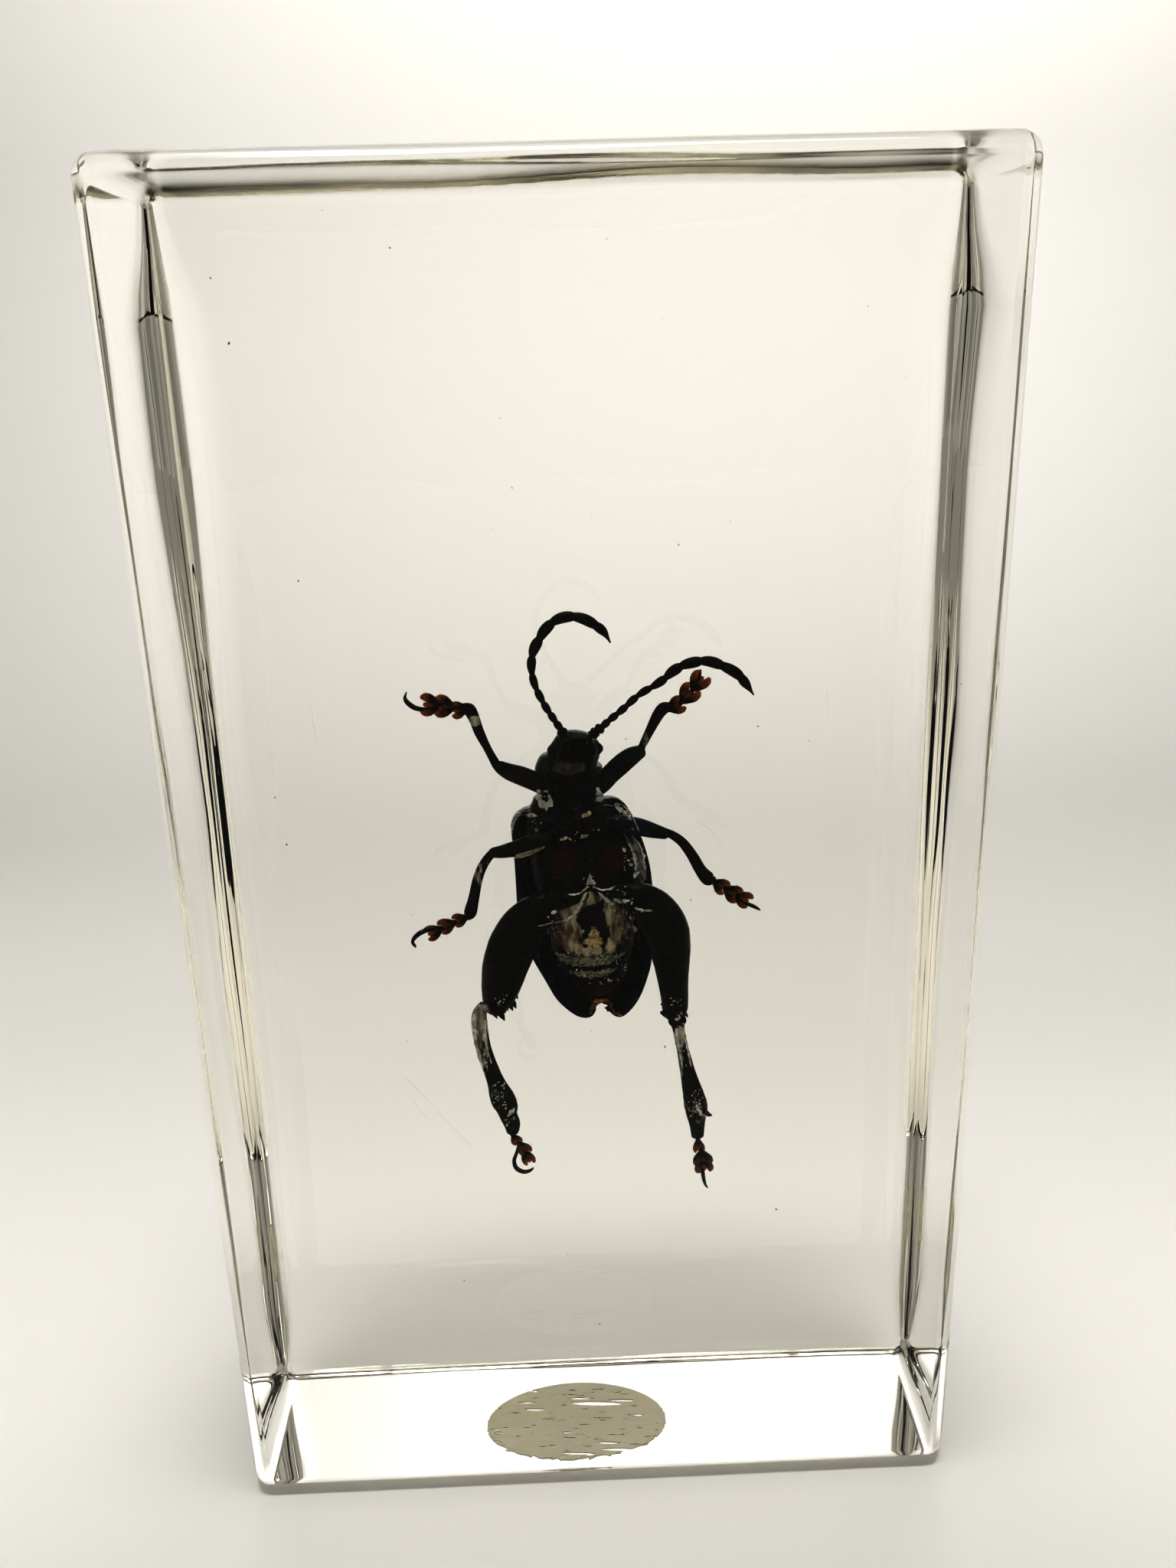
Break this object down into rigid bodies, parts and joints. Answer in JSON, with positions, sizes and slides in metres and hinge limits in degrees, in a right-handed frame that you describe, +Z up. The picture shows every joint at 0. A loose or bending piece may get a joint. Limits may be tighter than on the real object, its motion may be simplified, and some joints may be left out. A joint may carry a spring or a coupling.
{
  "type": "insect in resin block",
  "caption": "Upright clear cast-resin block with rounded edges and a frog-legged leaf beetle sealed inside, standing on a round label.",
  "frame": {"origin": "centre of the block's footprint, at the surface that the block stands on", "axes": "+Z up along the block's height, -Y out of the broad face that shows the beetle's underside, +X to the viewer's right"},
  "size_m": [0.042, 0.018, 0.0732],
  "materials": {
    "resin": "clear cast resin, hand polished, faintly yellow",
    "label": "matte round self-adhesive film, scuffed",
    "cuticle": "glossy black insect cuticle with a faint dark green and blue metallic sheen",
    "tarsal_pads": "felty red-brown adhesive foot pads",
    "air_film": "silvery films of air trapped between the resin and the cuticle"
  },
  "bodies": {
    "root": {"resin_block": "resin", "underside_label": "label"}
  },
  "joints": []
}
